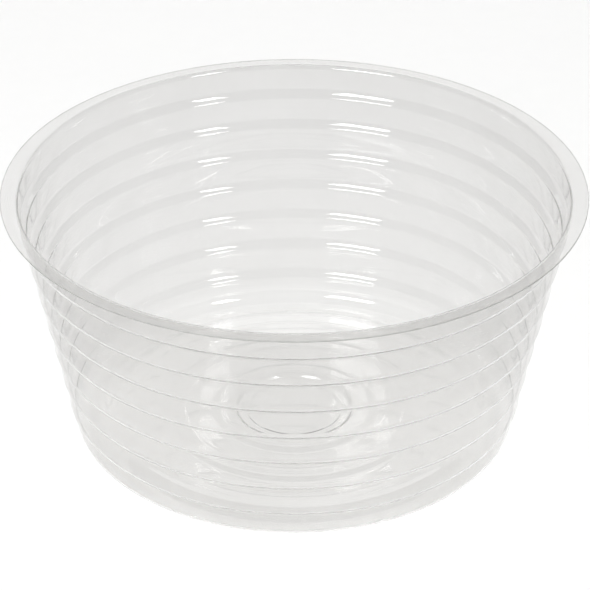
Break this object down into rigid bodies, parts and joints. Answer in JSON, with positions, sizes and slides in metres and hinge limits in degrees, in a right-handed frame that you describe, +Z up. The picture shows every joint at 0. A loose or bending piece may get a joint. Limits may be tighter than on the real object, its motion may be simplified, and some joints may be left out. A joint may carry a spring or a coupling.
{
  "type": "deep plant saucer",
  "caption": "Deep round clear plastic plant saucer with seven-tiered walls, a ringed base and a narrow flat flange round the mouth.",
  "frame": {"origin": "middle of the base, on the plane of the ring that it stands on", "axes": "+Z up along the axis of the bowl, towards the open mouth; the shape is the same all round the axis"},
  "size_m": [0.254, 0.254, 0.1156],
  "materials": {
    "clear_vinyl": "clear, glossy, thin vacuum-formed vinyl sheet with faint draw marks and light scuffing"
  },
  "bodies": {
    "root": {"saucer_shell": "clear_vinyl"}
  },
  "joints": []
}
